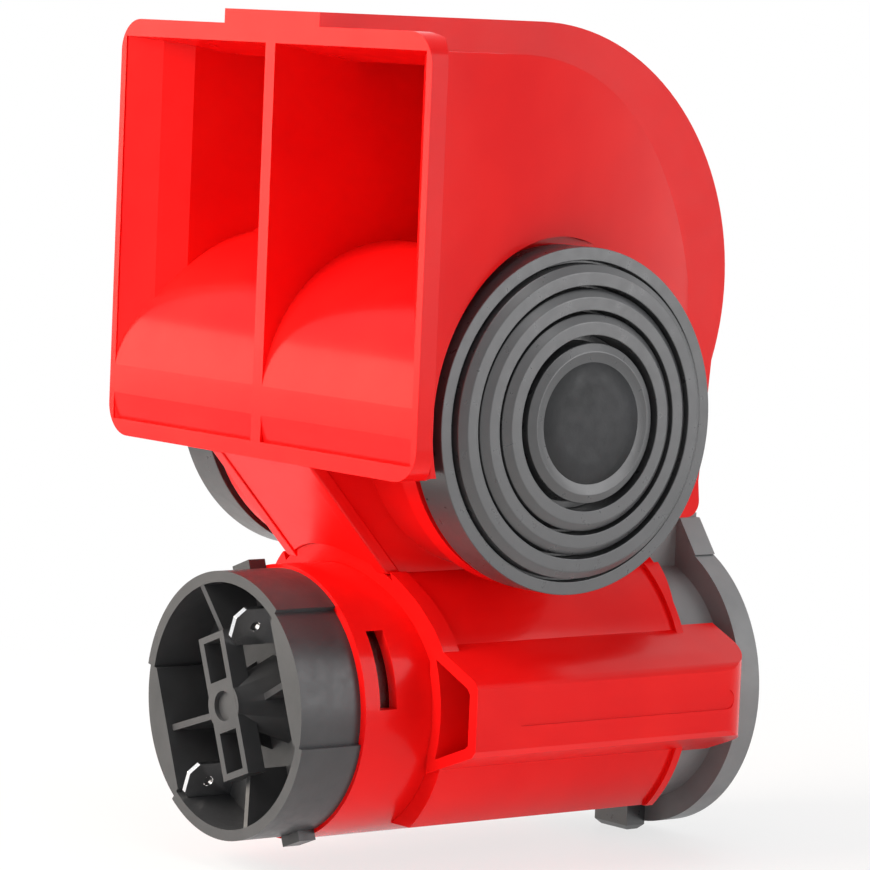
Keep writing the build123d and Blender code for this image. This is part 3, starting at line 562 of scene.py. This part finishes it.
neck_room = rectangle(NECK_CLEAR, 0.0, NECK_REACH)
combine(rim, prism(neck_room, *SPAN, from_front))
combine(lip, prism(neck_room, *SPAN, from_front))
# Under the channel the rim is cut back to the wrap
low_right = [
    (0.0, -RIM_CUT_REACH),
    (RIM_CUT_REACH, -RIM_CUT_REACH),
    (RIM_CUT_REACH, RIM_FOOT),
    (0.0, RIM_FOOT),
]
proud_part = combine(prism(low_right, *SPAN, from_front), round_bar(SADDLE_RADIUS, *LONG_SPAN))
combine(rim, proud_part)

CHANNEL_FRONT = 19.6
CHANNEL_REAR = 76.6
CHANNEL_INNER = 20.2
CHANNEL_OUTER = 31.8
CHANNEL_WALL = 1.8
CHANNEL_END_ROUND = 7.0
CHANNEL_REACH = 20.0            # more than the channel's height, up and down
CHANNEL_BORE = 23.2             # the space in it reaches in to this radius
SPACE_FRONT = 5.0               # ahead of the channel, so that it is open at the front
CORNER_STEPS = 12

# (x, height) points of the channel and of the space in it
channel_outline = [
    (CHANNEL_INNER, 11.3),
    (30.9, 6.7),
    (CHANNEL_OUTER, 5.6),
    (CHANNEL_OUTER, -3.9),
    (31.0, -4.9),
    (CHANNEL_INNER, -8.9),
]
space_outline = [(21.0, 9.0), (29.3, 5.4), (30.0, 4.6), (30.0, -3.2), (29.4, -3.7), (21.0, -6.9)]


def channel_plan(shrink):
    """(x, back) points from above, with a rounded rear corner."""
    outer = CHANNEL_OUTER - shrink
    rear = CHANNEL_REAR - shrink
    bend = CHANNEL_END_ROUND - shrink
    corner = circle(bend, 0, 90, CORNER_STEPS, (outer - bend, rear - bend))
    return [(0.0, SPACE_FRONT), (outer, SPACE_FRONT)] + corner + [(0.0, rear)]


def channel_shape(outline, front, rear, shrink):
    return combine(
        prism(outline, front, rear, from_front),
        prism(channel_plan(shrink), -CHANNEL_REACH, CHANNEL_REACH, from_top),
        operation="INTERSECT",
    )


channel = channel_shape(channel_outline, CHANNEL_FRONT, CHANNEL_REAR, 0.0)
space = channel_shape(space_outline, SPACE_FRONT, CHANNEL_REAR - CHANNEL_WALL, CHANNEL_WALL)
combine(space, round_bar(CHANNEL_BORE, *LONG_SPAN))
combine(saddle, rim, lip, channel, operation="UNION")

# A long sunk panel with round ends on the channel's outer face
PANEL_FRONT = 28.8
PANEL_REAR = 70.2
PANEL_HEIGHT = 1.0
PANEL_ROUND = 1.5
PANEL_DEPTH = 0.35
PANEL_STEPS = 10
PANEL_CLEAR = 2.0
panel_outline = (
    circle(PANEL_ROUND, 90, 270, PANEL_STEPS, (PANEL_FRONT, PANEL_HEIGHT))
    + circle(PANEL_ROUND, -90, 90, PANEL_STEPS, (PANEL_REAR, PANEL_HEIGHT))
)
panel = prism(
    panel_outline, CHANNEL_OUTER - PANEL_DEPTH, CHANNEL_OUTER + PANEL_CLEAR, from_side
)
combine(saddle, space, round_bar(SADDLE_BORE, *LONG_SPAN), panel)
dressed("saddle_and_channel", saddle, "red_shell", bevel_mm=0.3, node="compressor_saddle")

# Beads down both edges of the neck's sloping front
BEAD_INNER = 9.9
BEAD_OUTER = 12.7
BEAD_TOP = (0.85, 37.7)         # (back, height) of the front edge's ends
BEAD_BOTTOM = (16.4, 20.7)
BEAD_DEPTH = 3.0
bead_outline = [
    BEAD_TOP,
    BEAD_BOTTOM,
    (BEAD_BOTTOM[0] + BEAD_DEPTH, BEAD_BOTTOM[1]),
    (BEAD_TOP[0] + BEAD_DEPTH, BEAD_TOP[1]),
]
for side, hand in SIDES:
    bead = prism(bead_outline, hand * BEAD_INNER, hand * BEAD_OUTER, from_side)
    dressed("neck_bead_" + side, bead, "red_shell", bevel_mm=0.4)


# Front cap: a ring with two solid segments, a hub with its cone on four ribs, a slotted frame,
# two snap lugs and a spigot
FRONT_RADIUS = 20.5
FRONT_FACE = -4.05
FRONT_REAR = 7.0
FRONT_FLOOR = 5.2
FRONT_BORE = 18.8
FRONT_TURN = 21.0               # of the segments, ribs and frame about the motor's axis
FRONT_CLEAR = 2.0               # how far cuts start ahead of the face or end behind the rear
FLOOR_ROOT = 0.4                # how deep hub and ribs go into the floor
SEGMENT_DISTANCE = 15.5         # from the axis to a segment's straight side
SEGMENT_HALF_ANGLE = 31.5
SEGMENT_STEP = 0.7              # how far a segment's outside is set in
SEGMENT_CLEAR = 3.0
BORE_STEPS = 56
STEP_STEPS = 30
RIB_HALF = 0.5
RIB_DROP = 4.8                  # how far behind the face a rib meets the hub
RIB_SET_BACK = 0.05
RIB_RING_ROOT = 1.2             # how deep a rib goes into ring and hub
RIB_HUB_ROOT = 1.0
HUB_RADIUS = 3.9
HUB_CONE_FRONT = -3.15
HUB_CONE_RADIUS = 7.4
DIMPLE_RADIUS = 2.3
DIMPLE_DEPTH = 0.8
FRAME_HALF_WIDTH = 3.3
FRAME_HALF_LENGTH = 11.1
FRAME_DEPTH = 3.2
FRAME_PROUD = 0.02
FRAME_SLOT_HALF = 2.15
FRAME_SLOT_END = 10.1
LUG_HALF = 2.2
LUG_HEIGHT = 1.5
LUG_ROOT = 1.5
LUG_LENGTH = 3.1
SPIGOT_RADIUS = 19.1            # the spigot behind the cap's rear, inside the sleeve
SPIGOT_BORE = 16.2
SPIGOT_REAR = 8.6
SPIGOT_ROOT = 0.5
SPIGOT_BORE_REAR = 20
HALF_TURNS = (0, 180)
QUARTER_TURNS = (0, 90, 180, 270)


def cavity_outline():
    """The ring's bore, with a straight side at each solid segment."""
    points = []
    reach = SEGMENT_DISTANCE / math.cos(math.radians(SEGMENT_HALF_ANGLE))
    for half_turn in HALF_TURNS:
        turn = FRONT_TURN + half_turn
        low, high = turn - SEGMENT_HALF_ANGLE, turn + SEGMENT_HALF_ANGLE
        points.append(on_circle(reach, low))
        points.append(on_circle(reach, high))
        points += circle(FRONT_BORE, high, turn + 180 - SEGMENT_HALF_ANGLE, BORE_STEPS)
    return points


def step_outline(turn):
    """What is taken off the outside of a segment."""
    low, high = turn - SEGMENT_HALF_ANGLE, turn + SEGMENT_HALF_ANGLE
    return circle(FRONT_RADIUS - SEGMENT_STEP, low, high, STEP_STEPS) + [
        on_circle(FRONT_RADIUS + SEGMENT_CLEAR, high),
        on_circle(FRONT_RADIUS + 2 * SEGMENT_CLEAR, turn),
        on_circle(FRONT_RADIUS + SEGMENT_CLEAR, low),
    ]


def rib(turn):
    """A rib from the ring down to the hub, whose front edge runs back towards the hub."""
    def in_rib(radius, back, across):
        x, height = rotated(radius, across, turn)
        return place(x, back, height)

    outline = [
        (FRONT_RADIUS - RIB_RING_ROOT, FRONT_FACE + RIB_SET_BACK),
        (FRONT_BORE, FRONT_FACE + RIB_SET_BACK),
        (HUB_RADIUS - RIB_HUB_ROOT, FRONT_FACE + RIB_DROP),
        (HUB_RADIUS - RIB_HUB_ROOT, FRONT_FLOOR + FLOOR_ROOT),
        (FRONT_RADIUS - RIB_RING_ROOT, FRONT_FLOOR + FLOOR_ROOT),
    ]
    return prism(outline, -RIB_HALF, RIB_HALF, in_rib)


BLADE_HALF = 3.15
BLADE_THICKNESS = 0.8
BLADE_CHAMFER = 1.5
BLADE_FRONT = -3.6
BLADE_REAR = 8.5
BLADE_TURN = FRONT_TURN
BLADE_CLEARANCE = 0.05
BLADE_HOLE_BACK = 4.0
BLADE_HOLE_RADIUS = 0.8
BLADE_HOLE_STEPS = 24
BLADE_HOLE_REACH = 2.0
BLADE_NODES = ("terminal_upper", "terminal_lower")


def blade(node, clearance=0.0):
    """A blade terminal at its node's place, turned as in the cap."""
    low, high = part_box(node)
    x = (low[0] + high[0]) / 2 / MM
    height = (low[2] + high[2]) / 2 / MM + MOUNT_HEIGHT
    cosine, sine = math.cos(math.radians(BLADE_TURN)), math.sin(math.radians(BLADE_TURN))

    def in_blade(back, along, through):
        return place(
            x + along * sine + through * cosine, back, height + along * cosine - through * sine
        )

    half = BLADE_HALF + clearance
    outline = [
        (BLADE_REAR, -half),
        (BLADE_FRONT + BLADE_CHAMFER, -half),
        (BLADE_FRONT, -half + BLADE_CHAMFER),
        (BLADE_FRONT, half - BLADE_CHAMFER),
        (BLADE_FRONT + BLADE_CHAMFER, half),
        (BLADE_REAR, half),
    ]
    depth = BLADE_THICKNESS / 2 + clearance
    hole_middle = (BLADE_FRONT + BLADE_HOLE_BACK, 0.0)
    hole = circle(BLADE_HOLE_RADIUS, 0, 360, BLADE_HOLE_STEPS, hole_middle)
    return combine(
        prism(outline, -depth, depth, in_blade),
        prism(hole, -BLADE_HOLE_REACH, BLADE_HOLE_REACH, in_blade),
    )


def across_cap(outline, turn, start, end):
    """An outline turned about the motor's axis and extruded along it."""
    return prism(turned_outline(outline, FRONT_TURN + turn), start, end, from_front)


CUT_FRONT = FRONT_FACE - FRONT_CLEAR
frame_outline = rectangle(FRAME_HALF_WIDTH, -FRAME_HALF_LENGTH, FRAME_HALF_LENGTH)
lug_outline = rectangle(LUG_HALF, FRONT_RADIUS - LUG_ROOT, FRONT_RADIUS + LUG_HEIGHT)
slot_outline = rectangle(FRAME_SLOT_HALF, HUB_RADIUS, FRAME_SLOT_END)

front = combine(
    round_bar(FRONT_RADIUS, FRONT_FACE, FRONT_REAR),
    prism(cavity_outline(), CUT_FRONT, FRONT_FLOOR, from_front),
    *[
        prism(step_outline(FRONT_TURN + turn), CUT_FRONT, FRONT_REAR + FRONT_CLEAR, from_front)
        for turn in HALF_TURNS
    ],
)
combine(
    front,
    round_bar(HUB_RADIUS, FRONT_FACE, FRONT_FLOOR + FLOOR_ROOT),
    round_bar(HUB_RADIUS, HUB_CONE_FRONT, FRONT_FLOOR + FLOOR_ROOT, HUB_CONE_RADIUS),
    *[rib(FRONT_TURN + turn) for turn in QUARTER_TURNS],
    across_cap(frame_outline, 0, FRONT_FACE - FRAME_PROUD, FRONT_FACE + FRAME_DEPTH),
    *[across_cap(lug_outline, turn, FRONT_REAR - LUG_LENGTH, FRONT_REAR) for turn in HALF_TURNS],
    combine(
        round_bar(SPIGOT_RADIUS, FRONT_REAR - SPIGOT_ROOT, SPIGOT_REAR),
        round_bar(SPIGOT_BORE, FRONT_REAR - FRONT_CLEAR, SPIGOT_BORE_REAR),
    ),
    operation="UNION",
)
combine(
    front,
    *[across_cap(slot_outline, turn, CUT_FRONT, FRONT_FLOOR) for turn in HALF_TURNS],
    round_bar(DIMPLE_RADIUS, CUT_FRONT, FRONT_FACE + DIMPLE_DEPTH),
    *[blade(node, BLADE_CLEARANCE) for node in BLADE_NODES],
)
dressed("front_cap_ring", front, "front_grey", bevel_mm=0.16, node="front_cap")
for node in BLADE_NODES:
    name = node.replace("terminal", "blade")
    dressed(name, blade(node), "terminal_steel", bevel_mm=0.1, node=node)

# Thread in the mounting insert
THREAD_RADIUS = 3.4
THREAD_PITCH = 1.25
THREAD_LENGTH = 9.0
THREAD_START = 0.8
THREAD_HEIGHT = 0.12
THREAD_HALF_WIDTH = 0.38
THREAD_ROOT = 0.05
THREAD_STEPS = 48               # corners in one turn


def insert_thread():
    """A ridge with a triangular section, wound up the bore."""
    form = bmesh.new()
    rows = []
    section = [
        (-THREAD_HALF_WIDTH, THREAD_ROOT),
        (0.0, -THREAD_HEIGHT),
        (THREAD_HALF_WIDTH, THREAD_ROOT),
    ]
    turns = THREAD_LENGTH / THREAD_PITCH - 1
    for step in range(int(turns * THREAD_STEPS) + 1):
        angle = 2 * math.pi * step / THREAD_STEPS
        depth = THREAD_START + THREAD_PITCH * step / THREAD_STEPS
        row = []
        for along, outward in section:
            radius = THREAD_RADIUS + outward
            height = MOUNT_HEIGHT + radius * math.sin(angle)
            point = place(radius * math.cos(angle), MOUNT_BACK - depth - along, height)
            row.append(form.verts.new(point))
        rows.append(row)
    for first, second in zip(rows, rows[1:]):
        skin(form, first, second)
    form.faces.new(rows[0])
    form.faces.new(rows[-1])
    return form


finished("insert_thread", insert_thread(), "brass_insert")

# Floor, light and camera, in metres
FLOOR_DROP = 0.2 * MM
FLOOR_HALF = 3.0
FLOOR_COLOR = (0.92, 0.92, 0.92)
FLOOR_ROUGHNESS = 0.5
FLOOR_MIDDLE = place(0, 40, 0)
FLOOR_FADE = (0.11, 0.24)       # the floor turns to plain white between these distances
FLOOR_WHITE = (0.72, 1.0)       # and this is how white it is at both
WORLD_LIGHT = 0.3
TARGET = place(0, 35, 45)       # what lamps and camera look at
LAMP_DISTANCE = 0.9
LAMPS = (                       # name, azimuth, elevation, width, height, power, colour
    ("front_key", -12, 28, 0.5, 0.6, 12.0, (1.0, 0.90, 0.80)),
    ("front_sheen", -51, 0, 0.5, 0.7, 3.2, (1.0, 0.86, 0.68)),
    ("side_fill", 125, 12, 0.45, 0.8, 3.0, (1.0, 0.99, 1.0)),
    ("top", 60, 78, 0.6, 0.6, 2.5, (1.0, 1.0, 1.0)),
)
CAMERA_AZIMUTH = 51.38
CAMERA_ELEVATION = 4.87
CAMERA_ROLL = 2.41
CAMERA_DISTANCE = 0.7056
CAMERA_LENS = 187.05
CAMERA_SENSOR = 36
CAMERA_SHIFT = (-0.0028, -0.0343)


def seen_directly(tree):
    """1 for rays from the camera and for what gloss and glass show, otherwise 0."""
    path = tree.nodes.new("ShaderNodeLightPath")
    total = path.outputs["Is Camera Ray"]
    for name in ("Is Glossy Ray", "Is Transmission Ray"):
        step = tree.nodes.new("ShaderNodeMath")
        step.operation = "MAXIMUM"
        tree.links.new(total, step.inputs[0])
        tree.links.new(path.outputs[name], step.inputs[1])
        total = step.outputs["Value"]
    return total


def pale_floor():
    """A floor that shows the shadow close to the object, and plain white further out."""
    surface = Surface("pale_floor", FLOOR_COLOR, FLOOR_ROUGHNESS)
    white = surface.add("ShaderNodeEmission")
    white.inputs["Strength"].default_value = 1.0
    away = surface.add("ShaderNodeVectorMath")
    away.operation = "DISTANCE"
    away.inputs[1].default_value = FLOOR_MIDDLE
    surface.link(surface.coords, away.inputs[0])
    fade = surface.spread(away.outputs["Value"], *FLOOR_WHITE, *FLOOR_FADE, curve="SMOOTHSTEP")
    share = surface.add("ShaderNodeMath")
    share.operation = "MULTIPLY"
    surface.link(fade, share.inputs[0])
    surface.link(seen_directly(surface.tree), share.inputs[1])
    mix = surface.add("ShaderNodeMixShader")
    surface.link(share.outputs["Value"], mix.inputs[0])
    surface.link(surface.shader.outputs["BSDF"], mix.inputs[1])
    surface.link(white.outputs["Emission"], mix.inputs[2])
    surface.link(mix.outputs["Shader"], surface.tree.nodes["Material Output"].inputs["Surface"])
    return surface.material


def make_floor():
    floor_height = cad_low[2] - FLOOR_DROP
    corners = rectangle(FLOOR_HALF, -FLOOR_HALF, FLOOR_HALF)
    mesh = bpy.data.meshes.new("floor")
    mesh.from_pydata([(x, y, floor_height) for x, y in corners], [], [(0, 1, 2, 3)])
    mesh.materials.append(pale_floor())
    floor = bpy.data.objects.new("floor", mesh)
    bpy.context.scene.collection.objects.link(floor)


def make_world():
    world = bpy.data.worlds.new("studio")
    bpy.context.scene.world = world
    world.use_nodes = True
    tree = world.node_tree
    background = tree.nodes["Background"]
    background.inputs["Color"].default_value = (1, 1, 1, 1)
    level = tree.nodes.new("ShaderNodeMapRange")
    level.inputs["To Min"].default_value = WORLD_LIGHT
    level.inputs["To Max"].default_value = 1.0
    tree.links.new(seen_directly(tree), level.inputs["Value"])
    tree.links.new(level.outputs["Result"], background.inputs["Strength"])


def direction(azimuth, elevation):
    """The way out from the object, with azimuth 0 at the front and 90 at the right."""
    a, e = math.radians(azimuth), math.radians(elevation)
    return Vector((math.sin(a) * math.cos(e), -math.cos(a) * math.cos(e), math.sin(e)))


def softbox(name, azimuth, elevation, width, height, power, color):
    light = bpy.data.lights.new(name, "AREA")
    light.shape = "RECTANGLE"
    light.size = width
    light.size_y = height
    light.energy = power
    light.color = color
    lamp = bpy.data.objects.new(name, light)
    bpy.context.scene.collection.objects.link(lamp)
    away = direction(azimuth, elevation)
    lamp.location = TARGET + away * LAMP_DISTANCE
    lamp.rotation_euler = away.to_track_quat("Z", "Y").to_euler()


def make_camera():
    camera_data = bpy.data.cameras.new("camera")
    camera_data.sensor_width = CAMERA_SENSOR
    camera_data.lens = CAMERA_LENS
    camera_data.shift_x, camera_data.shift_y = CAMERA_SHIFT
    camera = bpy.data.objects.new("camera", camera_data)
    bpy.context.scene.collection.objects.link(camera)
    away = direction(CAMERA_AZIMUTH, CAMERA_ELEVATION)
    roll = Quaternion((0, 0, 1), math.radians(CAMERA_ROLL))
    camera.location = TARGET + away * CAMERA_DISTANCE
    camera.rotation_mode = "QUATERNION"
    camera.rotation_quaternion = away.to_track_quat("Z", "Y") @ roll
    bpy.context.scene.camera = camera


make_floor()
make_world()
for lamp in LAMPS:
    softbox(*lamp)
make_camera()
bpy.context.scene.view_settings.view_transform = "Standard"
